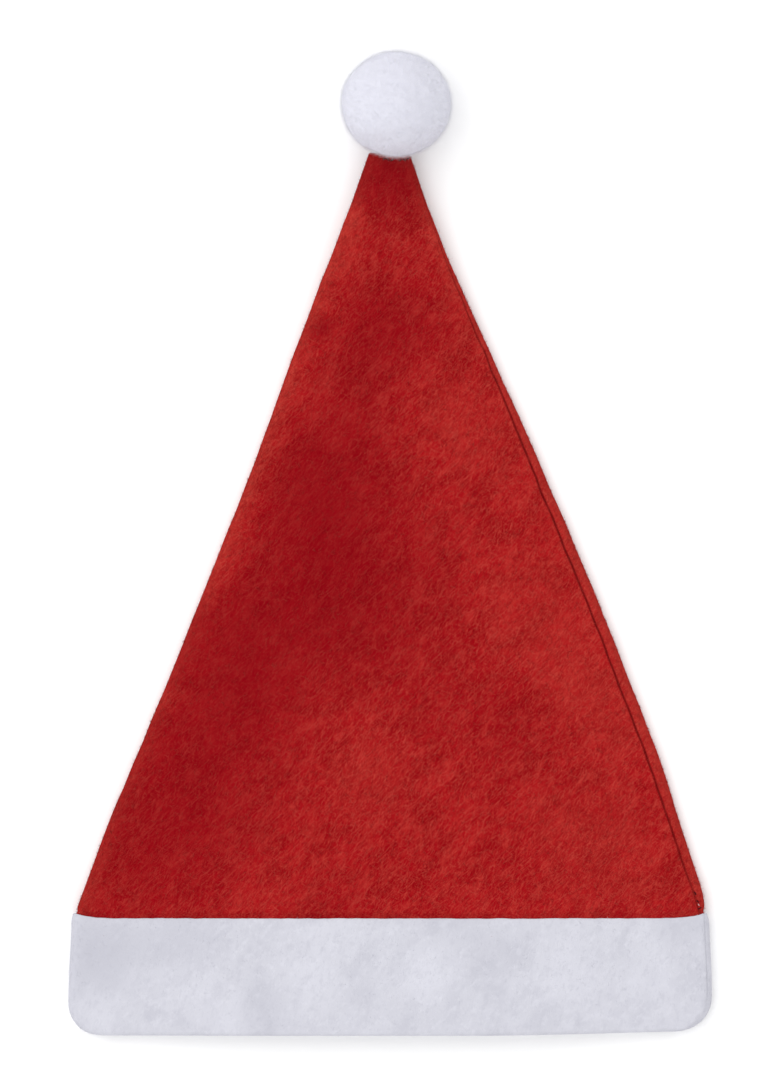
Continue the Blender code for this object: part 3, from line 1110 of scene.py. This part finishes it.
@dataclass
class Pompom:
    """The plush ball at the tip: a core of low locks that carries a dense cut pile."""

    centre: Vector
    half: Vector
    lock_count: int = 60
    lock_relief: float = 1.4 * MM
    lock_height_sway: float = 0.40
    lock_height_step: float = 5.1
    lock_turn_sway: float = 0.30
    lock_turn_step: float = 2.3
    lock_stand_sway: float = 0.35
    lock_stand_step: float = 3.7
    core_relief: float = 0.20
    core_unevenness: float = 0.008
    core_unevenness_rate: float = 3.1
    pile_length: float = 1.6 * MM
    pile_shown: float = 0.30
    half_length: float = 24.0 * MM

    @classmethod
    def from_frame(cls) -> "Pompom":
        """Read the ball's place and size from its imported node.

        Returns:
            The ball.
        """
        low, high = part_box("pompom")
        half_x, half_z = (high[0] - low[0]) / 2, (high[2] - low[2]) / 2
        half_y = cls.half_length
        centre = Vector((low[0] + half_x, high[1] - half_y, low[2] + half_z))
        return cls(centre, Vector((half_x, half_y, half_z)))

    def locks(self) -> list[tuple[Vector, float]]:
        """Spread the locks over the ball, a little unevenly.

        Returns:
            The way each lock points and how far it stands out.
        """
        golden = math.pi * (3.0 - math.sqrt(5.0))
        found = []
        for index in range(self.lock_count):
            sway = self.lock_height_sway * math.sin(self.lock_height_step * index)
            height = 1.0 - 2.0 * (index + 0.5 + sway) / self.lock_count
            height = min(1.0, max(-1.0, height))
            across = math.sqrt(1.0 - height * height)
            turn = golden * index + self.lock_turn_sway * math.sin(self.lock_turn_step * index)
            way = Vector((across * math.cos(turn), across * math.sin(turn), height))
            stand = self.lock_stand_sway * math.sin(self.lock_stand_step * index)
            found.append((way, stand))
        return found

    def build(self) -> bpy.types.Object:
        """Shape the core from an icosphere.

        Returns:
            The core's object.
        """
        mesh = bmesh.new()
        bmesh.ops.create_icosphere(mesh, subdivisions=6, radius=1.0)
        locks = self.locks()
        reach = 2.0 / math.sqrt(self.lock_count)
        core = [size - self.pile_shown * self.pile_length for size in self.half]
        for vert in mesh.verts:
            way = vert.co.normalized()
            dome = max(extra - ((way - lock).length / reach) ** 2 for lock, extra in locks)
            size = 1.0 + self.core_relief * self.lock_relief * min(0.0, dome) / self.half.z
            size += self.core_unevenness * noise.noise(way * self.core_unevenness_rate)
            vert.co = self.centre + Vector([part * axis * size for part, axis in zip(way, core)])
        bmesh.ops.recalc_face_normals(mesh, faces=mesh.faces)
        return make_object("pompom_core", mesh)

    def pile(self) -> Nap:
        """Describe the pile, whose fibres are drawn coarser and sparser than real ones."""
        return Nap("pompom_pile", count=28000, length=self.pile_length, thickness=0.045 * MM,
                   lift=1.1, curl=0.0, seed=21, bent=False)

    def halo(self) -> Nap:
        """Describe the few longer fibres that blur the ball's outline."""
        return Nap("pompom_halo", count=16000, length=1.5 * self.pile_length,
                   thickness=0.035 * MM, lift=1.35, curl=0.0, seed=22, bent=False)


class Stitch(NamedTuple):
    """One short stitch of thread on the crown, by its middle, its heading and its length."""

    x_mm: float
    y_mm: float
    heading: float
    length_mm: float


# Dark thread where the ball is sewn on: partly real stitches, partly painted shade that stands in
# for the dark gap under the ball
NECK_STITCHES_AND_GAP_SHADE = (
    Stitch(-2.2, 172.6, 0.4, 1.2),
    Stitch(-0.6, 172.3, -0.6, 1.1),
    Stitch(1.2, 172.0, 0.5, 1.3),
    Stitch(5.0, 172.0, 0.7, 1.2),
    Stitch(6.8, 172.2, -0.4, 1.3),
    Stitch(8.2, 172.6, 0.5, 1.1),
)

SEAM_END_DARK = (
    Stitch(137.7, -157.7, -1.0, 1.4),
    Stitch(138.8, -161.3, -0.6, 1.2),
    Stitch(139.6, -164.4, 0.4, 1.5),
)

SEAM_END_LIGHT = (
    Stitch(139.2, -162.8, -0.9, 0.7),
)


@dataclass(frozen=True)
class Stitching:
    """A few small stitches of sewing thread that show on the crown."""

    name: str
    stitches: tuple[Stitch, ...]
    thread: float = 0.50 * MM
    proud: float = 0.05 * MM
    sides: int = 6
    steps: int = 6
    arch: float = 0.45
    drop_from: float = 50 * MM

    def build(self, cloth: bpy.types.Object) -> bpy.types.Object:
        """Spin each stitch as a low arch of thread that enters the cloth at both ends.

        Args:
            cloth: The cloth on which the stitches lie.

        Returns:
            The stitches' object.
        """
        bpy.context.view_layer.update()
        mesh = bmesh.new()
        for stitch in self.stitches:
            x, y = stitch.x_mm * MM, stitch.y_mm * MM
            above = Vector((x, y, self.drop_from))
            _, spot, normal, _ = cloth.ray_cast(above, Vector((0, 0, -1)))
            half = stitch.length_mm * MM / 2
            section = Matrix.Translation((half, 0, 0))
            ring = bmesh.ops.create_circle(mesh, cap_ends=False, segments=self.sides,
                                           radius=self.thread / 2, matrix=section)["verts"]
            edges = [edge for edge in mesh.edges if edge.verts[0] in ring]
            before = set(mesh.verts) - set(ring)
            bmesh.ops.spin(mesh, geom=ring + edges, cent=(0, 0, 0), axis=(0, 1, 0),
                           angle=-math.pi, steps=self.steps)
            made = [vert for vert in mesh.verts if vert not in before]
            bmesh.ops.scale(mesh, vec=(1.0, 1.0, self.arch), verts=made)
            bmesh.ops.rotate(mesh, matrix=Matrix.Rotation(stitch.heading, 3, "Z"), verts=made)
            bmesh.ops.translate(mesh, vec=spot + normal * self.proud, verts=made)
        bmesh.ops.holes_fill(mesh, edges=mesh.edges, sides=self.sides)
        # The caps are filled in no fixed order, so the faces are put in one
        mesh.faces.sort(key=lambda face: face.calc_center_median().x)
        bmesh.ops.recalc_face_normals(mesh, faces=mesh.faces)
        return make_object(self.name, mesh)


Socket = bpy.types.NodeSocket
Colour = tuple[float, float, float, float]
WHITE = (1.0, 1.0, 1.0, 1.0)


def linear(code: str) -> Colour:
    """Turn an sRGB hex colour to linear light.

    Args:
        code: Six hex digits after a hash.

    Returns:
        Red, green, blue and alpha.
    """
    parts = []
    for start in (1, 3, 5):
        value = int(code[start:start + 2], 16) / 255
        parts.append(value / 12.92 if value <= 0.04045 else ((value + 0.055) / 1.055) ** 2.4)
    return parts[0], parts[1], parts[2], 1.0


@dataclass(frozen=True)
class Graph:
    """The nodes of one material or world, to which nodes are added one by one."""

    tree: bpy.types.NodeTree

    @classmethod
    def start(cls, owner: bpy.types.ID) -> "Graph":
        """Start an empty node tree.

        Args:
            owner: The material or world.

        Returns:
            The graph of its nodes.
        """
        owner.use_nodes = True
        owner.node_tree.nodes.clear()
        return cls(owner.node_tree)

    def add(self, kind: str, inputs: Optional[dict] = None, **settings: object) -> bpy.types.Node:
        """Add one node.

        Args:
            kind: The node's type, without the prefix that all these types share.
            inputs: For each input, by name or number, its value or the socket that feeds it.
            settings: The node's own properties.

        Returns:
            The new node.
        """
        node = self.tree.nodes.new("ShaderNode" + kind)
        for name, value in settings.items():
            setattr(node, name, value)
        for name, value in (inputs or {}).items():
            if isinstance(value, bpy.types.NodeSocket):
                self.tree.links.new(value, node.inputs[name])
            else:
                node.inputs[name].default_value = value
        return node

    def attribute(self, name: str) -> Socket:
        """Read a value that the mesh carries under a name."""
        return self.add("Attribute", attribute_name=name).outputs["Fac"]

    def math(self, operation: str, *terms: Socket | float, clamp: bool = False) -> Socket:
        """Work out a value from sockets and numbers."""
        inputs = dict(enumerate(terms))
        return self.add("Math", inputs, operation=operation, use_clamp=clamp).outputs[0]

    def scaled(self, value: Socket, factor: float) -> Socket:
        """Scale a value and hold it between 0 and 1."""
        return self.math("MULTIPLY", value, factor, clamp=True)

    def turned(self, place: Socket, angle: float, length_mm: float, width_mm: float,
               offset: float) -> Socket:
        """Turn and stretch coordinates so that one unit is one patch.

        Args:
            place: The coordinates.
            angle: The grain's angle from the X axis in degrees.
            length_mm: The patches' length along the grain.
            width_mm: The patches' width across the grain.
            offset: A shift that keeps layers apart.

        Returns:
            The new coordinates.
        """
        return self.add("Mapping", {
            "Vector": place,
            "Location": (offset, 0.0, 0.0),
            "Rotation": (0.0, 0.0, math.radians(angle)),
            "Scale": (length_mm * MM, width_mm * MM, width_mm * MM),
        }, vector_type="TEXTURE").outputs[0]

    def noise(self, place: Socket, scale: float, detail: float, roughness: float,
              distortion: float = 0.0) -> Socket:
        """Draw noise.

        Args:
            place: The coordinates.
            scale: How many patches stand in one unit.
            detail: How many finer layers are added.
            roughness: How strong the finer layers are.
            distortion: How far the noise is pushed about.

        Returns:
            The noise's strength.
        """
        return self.add("TexNoise", {
            "Vector": place, "Scale": scale, "Detail": detail, "Roughness": roughness,
            "Distortion": distortion,
        }).outputs["Fac"]

    def ease(self, value: Socket, low: float, high: float, start: float, end: float) -> Socket:
        """Ease from one value to another while a third runs between two limits.

        Args:
            value: The value that runs.
            low: Its lower limit.
            high: Its upper limit.
            start: The result at the lower limit.
            end: The result at the upper limit.

        Returns:
            The eased value.
        """
        return self.add("MapRange", {
            "Value": value, "From Min": low, "From Max": high, "To Min": start, "To Max": end,
        }, interpolation_type="SMOOTHSTEP").outputs[0]

    def paint(self, under: Socket | Colour, code: str, share: Socket) -> Socket:
        """Lay one colour over another.

        Args:
            under: The colour below.
            code: The upper colour in hex.
            share: How much of the upper colour shows.

        Returns:
            The mixed colour.
        """
        inputs = {0: share, 6: under, 7: linear(code)}
        return self.add("Mix", inputs, data_type="RGBA").outputs[2]


# How fine the felt's noise is, how far its hairs stand out, and the shifts between layers
PATCH_ROUGHNESS = 0.55
HAIR_DETAIL = 1.5
HAIR_DISTORTION = 0.4
HAIR_RELIEF = 0.6
GRAIN_DETAIL = 3.0
GRAIN_ROUGHNESS = 0.6
BUMP_DEPTH = 0.35 * MM
LAYER_SHIFT = 0.171
STREAK_SHIFT = 0.613


@dataclass(frozen=True)
class HairLayer:
    """One set of matted hairs in the felt: which way they run and how long and wide they look."""

    angle: float
    length_mm: float
    width_mm: float
    line: float
    offset: float


@dataclass(frozen=True)
class PatchLayer:
    """Cloudy or streaky noise of a real size that shades the felt towards one colour."""

    colour: str
    length_mm: float
    width_mm: float
    angle: float
    low: float
    high: float
    strength: float
    detail: float = 2.5


@dataclass(frozen=True)
class FeltFinish:
    """Needle-punched polyester felt: matt, with brushed streaks, matted hairs and soft clouds."""

    name: str
    base: str
    dark: str
    light: str
    hair: str
    rim: str
    seam_shade: str
    clouds: tuple[PatchLayer, ...]
    streaks: tuple[PatchLayer, ...]
    hairs: tuple[HairLayer, ...]
    hair_strength: float
    tone_and_light_strength: float
    tone_and_shade_strength: float
    fold_sheen_strength: float
    seam_shade_strength: float
    grain_mm: float
    bump: float

    def hair_lines(self, graph: Graph, place: Socket) -> Socket:
        """Draw the matted hairs as thin contour lines of stretched noise.

        Args:
            graph: The material's nodes.
            place: The object coordinates.

        Returns:
            The socket with 1 on a hair and 0 between hairs.
        """
        total = None
        for layer in self.hairs:
            spot = graph.turned(place, layer.angle, layer.length_mm, layer.width_mm, layer.offset)
            level = graph.noise(spot, 1.0, HAIR_DETAIL, PATCH_ROUGHNESS, HAIR_DISTORTION)
            off = graph.math("ABSOLUTE", graph.math("SUBTRACT", level, 0.5))
            line = graph.ease(off, 0.0, layer.line, 1.0, 0.0)
            total = line if total is None else graph.math("MAXIMUM", total, line)
        return total

    def shade(self, graph: Graph, place: Socket, under: Socket | Colour,
              layers: Sequence[PatchLayer], offset: float) -> Socket:
        """Lay layers of patches over a colour.

        Args:
            graph: The material's nodes.
            place: The object coordinates.
            under: The colour below.
            layers: The layers, from the lowest to the highest.
            offset: A shift that keeps these layers apart from others.

        Returns:
            The shaded colour.
        """
        colour = under
        for index, layer in enumerate(layers):
            spot = graph.turned(place, layer.angle, layer.length_mm, layer.width_mm,
                                offset + LAYER_SHIFT * index)
            level = graph.noise(spot, 1.0, layer.detail, PATCH_ROUGHNESS)
            share = graph.ease(level, layer.low, layer.high, 0.0, layer.strength)
            colour = graph.paint(colour, layer.colour, share)
        return colour

    def material(self) -> bpy.types.Material:
        """Build the felt's material.

        Returns:
            The material.
        """
        material = bpy.data.materials.new(self.name)
        graph = Graph.start(material)
        place = graph.add("TexCoord").outputs["Object"]
        tone_and_light, fold, seam_shade = [graph.attribute(name) for name in ("tone_and_light", "fold", "seam_shade")]
        # Clouds and streaks come from fibre that was carded unevenly and brushed
        colour = self.shade(graph, place, linear(self.base), self.clouds, 0.0)
        # Lighter patches: partly the felt's own uneven tone, partly painted highlight, such as the
        # strip along the left fold
        colour = graph.paint(colour, self.light, graph.scaled(tone_and_light, self.tone_and_light_strength))
        # Painted highlight: the side folds are painted lighter, standing in for the sheen of their
        # fibre where the felt turns over
        colour = graph.paint(colour, self.rim, graph.scaled(fold, self.fold_sheen_strength))
        colour = self.shade(graph, place, colour, self.streaks, STREAK_SHIFT)
        hair = self.hair_lines(graph, place)
        colour = graph.paint(colour, self.hair, graph.scaled(hair, self.hair_strength))
        # Darker patches, painted over the hairs so that they show less there: partly the felt's own
        # uneven tone, partly painted shade, such as the band's darker left and top
        colour = graph.paint(colour, self.dark, graph.scaled(tone_and_light, -self.tone_and_shade_strength))
        # Painted shade in the seams' valleys, which stands in for the little light that reaches
        # them
        colour = graph.paint(colour, self.seam_shade, graph.scaled(seam_shade, self.seam_shade_strength))
        grain = graph.noise(place, 1000 / self.grain_mm, GRAIN_DETAIL, GRAIN_ROUGHNESS)
        relief = graph.math("MULTIPLY_ADD", hair, HAIR_RELIEF, grain)
        bump = graph.add("Bump", {
            "Height": relief, "Strength": self.bump, "Distance": BUMP_DEPTH,
        })
        shader = graph.add("BsdfPrincipled", {
            "Base Color": colour, "Normal": bump.outputs[0], "Roughness": 0.95,
            "Specular IOR Level": 0.0,
        })
        graph.add("OutputMaterial", {0: shader.outputs[0]})
        return material


@dataclass(frozen=True)
class FibreFinish:
    """Loose polyester fibres: matt and soft, each a little lighter or darker than the next.

    Thin fibres let part of the light through, which keeps a dense pile bright.
    """

    name: str
    dark: str
    light: str
    sheen: float = 0.1
    through: float = 0.0

    def material(self) -> bpy.types.Material:
        """Build the fibres' material.

        Returns:
            The material.
        """
        material = bpy.data.materials.new(self.name)
        graph = Graph.start(material)
        colour = graph.paint(linear(self.dark), self.light, graph.attribute("shade"))
        surface = graph.add("BsdfPrincipled", {
            "Base Color": colour, "Roughness": 0.9, "Specular IOR Level": 0.1,
            "Sheen Weight": self.sheen, "Sheen Roughness": 0.5,
            "Sheen Tint": linear(self.light),
        }).outputs[0]
        if self.through > 0.0:
            passed = graph.add("BsdfTranslucent", {"Color": colour}).outputs[0]
            inputs = {0: self.through, 1: surface, 2: passed}
            surface = graph.add("MixShader", inputs).outputs[0]
        graph.add("OutputMaterial", {0: surface})
        return material


RED_FELT = FeltFinish(
    name="needled_felt_red", base="#960D15", dark="#7A0410", light="#AC2A26", hair="#BC4A3E",
    rim="#AC342C", seam_shade="#62080E",
    clouds=(
        PatchLayer("#A6181C", 34.0, 26.0, 60.0, 0.42, 0.64, 0.60),
        PatchLayer("#84060E", 17.0, 12.0, 35.0, 0.44, 0.64, 0.66, 2.0),
        PatchLayer("#B22E2A", 10.0, 6.0, 55.0, 0.50, 0.70, 0.50, 2.5),
        PatchLayer("#86070F", 6.0, 4.5, 20.0, 0.50, 0.70, 0.42, 2.5),
    ),
    streaks=(
        PatchLayer("#B8382E", 4.6, 1.1, 84.0, 0.50, 0.72, 0.34, 3.5),
        PatchLayer("#78060F", 5.0, 1.1, 52.0, 0.48, 0.70, 0.40, 3.5),
        PatchLayer("#B8382E", 3.0, 0.9, 38.0, 0.52, 0.74, 0.34, 3.0),
        PatchLayer("#78060F", 2.2, 0.8, 118.0, 0.50, 0.72, 0.38, 3.0),
    ),
    hairs=(
        HairLayer(42.0, 11.0, 1.0, 0.030, 0.000),
        HairLayer(66.0, 8.0, 1.2, 0.026, 0.310),
        HairLayer(-28.0, 6.0, 1.5, 0.018, 0.730),
    ),
    hair_strength=0.42, tone_and_light_strength=0.62, tone_and_shade_strength=0.44, fold_sheen_strength=0.52,
    seam_shade_strength=0.75, grain_mm=0.8, bump=0.24,
)

WHITE_FELT = FeltFinish(
    name="needled_felt_white", base="#C6C6CF", dark="#B9B9C3", light="#D0D0D9", hair="#D6D6DE",
    rim="#C9C9D2", seam_shade="#9A9AA6",
    clouds=(
        PatchLayer("#D0D0D9", 30.0, 24.0, 75.0, 0.42, 0.68, 0.60),
        PatchLayer("#B9B9C3", 15.0, 12.0, 60.0, 0.46, 0.68, 0.50, 2.0),
    ),
    streaks=(
        PatchLayer("#D2D2DB", 4.5, 3.0, 40.0, 0.50, 0.72, 0.45),
        PatchLayer("#BABAC4", 4.0, 2.6, 70.0, 0.50, 0.72, 0.40),
        PatchLayer("#B4B4BF", 1.6, 1.0, 85.0, 0.54, 0.76, 0.35, 3.0),
    ),
    hairs=(
        HairLayer(70.0, 7.0, 2.0, 0.025, 0.120),
        HairLayer(-48.0, 6.0, 2.0, 0.020, 0.520),
    ),
    hair_strength=0.25, tone_and_light_strength=0.8, tone_and_shade_strength=0.75, fold_sheen_strength=0.30,
    seam_shade_strength=0.90, grain_mm=1.2, bump=0.25,
)


RED_FIBRE = FibreFinish("loose_fibre_red", "#8A1218", "#AC4034", sheen=0.0)
WHITE_FIBRE = FibreFinish("loose_fibre_white", "#DEDEE6", "#EAEAF0", through=0.5)
PILE_FIBRE = FibreFinish("plush_pile_white", "#F7F7FD", "#FEFEFF", sheen=1.0, through=0.7)
CORE_FIBRE = FibreFinish("plush_core_white", "#DADAE4", "#DADAE4", sheen=0.5)
# Dark teal thread, partly painted shade of the gap under the ball
DARK_THREAD_AND_GAP_SHADE = FibreFinish("sewing_thread_and_gap_shade", "#14302F", "#14302F")
MAROON_THREAD = FibreFinish("sewing_thread_maroon", "#3A0A10", "#3A0A10")
PALE_THREAD = FibreFinish("sewing_thread_pale", "#B98F8C", "#B98F8C")

CROWN_NAPS = (
    Nap("crown_nap_front", count=17500, length=2.6 * MM, thickness=0.13 * MM, lift=0.14,
        curl=1.2, grain=math.radians(60), scatter=1.5, side=Side.FRONT, seed=11, fold_gain=5.0),
    Nap("crown_nap_back", count=8000, length=2.6 * MM, thickness=0.14 * MM, lift=0.14,
        curl=1.2, grain=math.radians(50), scatter=1.5, side=Side.BACK, seed=12),
)

BRIM_NAP = Nap("brim_nap", count=8000, length=2.0 * MM, thickness=0.06 * MM, lift=0.10,
               curl=1.2, seed=13, fold_gain=8.0)


@dataclass
class Studio:
    """The floor, the soft light and the camera straight above, as in the photograph."""

    photo_width_px: int = 773
    photo_height_px: int = 1080
    metres_per_px: float = 0.00045
    origin_px: tuple[float, float] = (389.25, 542.8)
    distance: float = 8.0
    subject_height: float = 0.004
    dome: float = 0.93
    key: float = 1.04
    key_angle: float = 80.0
    key_travel: tuple[float, float, float] = (0.46, -0.18, -0.84)
    floor_size: float = 6.0
    sensor: float = 36.0
    clip: tuple[float, float] = (0.05, 40.0)

    def floor(self) -> None:
        """Lay the plain pale floor."""
        mesh = bmesh.new()
        bmesh.ops.create_grid(mesh, x_segments=1, y_segments=1, size=self.floor_size)
        floor = make_object("floor", mesh)
        material = bpy.data.materials.new("paper_white")
        graph = Graph.start(material)
        shader = graph.add("BsdfPrincipled", {
            "Base Color": WHITE, "Roughness": 1.0, "Specular IOR Level": 0.0,
        })
        graph.add("OutputMaterial", {0: shader.outputs[0]})
        floor.data.materials.append(material)

    def light(self) -> None:
        """Set the even dome of light and the soft key from the upper left."""
        world = bpy.data.worlds.new("soft_dome")
        graph = Graph.start(world)
        dome = graph.add("Background", {"Color": WHITE, "Strength": self.dome})
        graph.add("OutputWorld", {0: dome.outputs[0]})
        bpy.context.scene.world = world
        key = bpy.data.lights.new("soft_key", "SUN")
        key.energy = self.key
        key.angle = math.radians(self.key_angle)
        lamp = link_object("soft_key", key)
        lamp.rotation_euler = Vector(self.key_travel).to_track_quat("-Z", "Y").to_euler()

    def camera(self) -> None:
        """Hang the camera over the hat, so that the frame matches the photograph's."""
        lens = bpy.data.cameras.new("camera")
        item = link_object("camera", lens)
        across = (self.photo_width_px / 2 - self.origin_px[0]) * self.metres_per_px
        along = (self.origin_px[1] - self.photo_height_px / 2) * self.metres_per_px
        item.location = (across, along, self.distance + self.subject_height)
        lens.sensor_width = self.sensor
        seen = self.photo_height_px * self.metres_per_px
        lens.lens = self.sensor * self.distance / seen
        lens.clip_start, lens.clip_end = self.clip
        bpy.context.scene.camera = item

    def build(self) -> None:
        """Set up the whole studio."""
        self.floor()
        self.light()
        self.camera()
        bpy.context.scene.view_settings.view_transform = "Standard"


def dress(piece: bpy.types.Object, material: bpy.types.Material) -> bpy.types.Object:
    """Give a piece its material and tie it to the frame.

    Args:
        piece: The finished piece.
        material: Its material.

    Returns:
        The same piece.
    """
    piece.data.materials.clear()
    piece.data.materials.append(material)
    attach(piece, "root")
    count = sum(len(face.vertices) - 2 for face in piece.data.polygons)
    LOG.info("%s: %d triangles", piece.name, count)
    return piece


def main() -> None:
    """Build the hat's pieces in order, then the studio."""
    logging.basicConfig(level=logging.INFO, format="%(name)s %(message)s")
    sizes = HatSizes.from_frame()
    red_fibre = RED_FIBRE.material()
    white_fibre = WHITE_FIBRE.material()
    pile_fibre = PILE_FIBRE.material()
    core_fibre = CORE_FIBRE.material()
    crown = dress(Crown(sizes).build(), RED_FELT.material())
    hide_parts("crown")
    grown = [dress(nap.grow(crown), red_fibre) for nap in CROWN_NAPS]
    band = dress(BrimBand(sizes).build(), WHITE_FELT.material())
    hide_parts("brim_band")
    band_grown = dress(BRIM_NAP.grow(band), white_fibre)
    for name, stitches, thread in (
        ("neck_stitches_and_gap_shade", NECK_STITCHES_AND_GAP_SHADE, DARK_THREAD_AND_GAP_SHADE),
        ("seam_end_stitches", SEAM_END_DARK, MAROON_THREAD),
        ("seam_end_tack", SEAM_END_LIGHT, PALE_THREAD),
    ):
        dress(Stitching(name, stitches).build(crown), thread.material())
    ball = Pompom.from_frame()
    core = dress(ball.build(), core_fibre)
    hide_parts("pompom")
    for nap in (ball.pile(), ball.halo()):
        dress(nap.grow(core), pile_fibre)
    Studio().build()


if __name__ == "__main__":
    main()
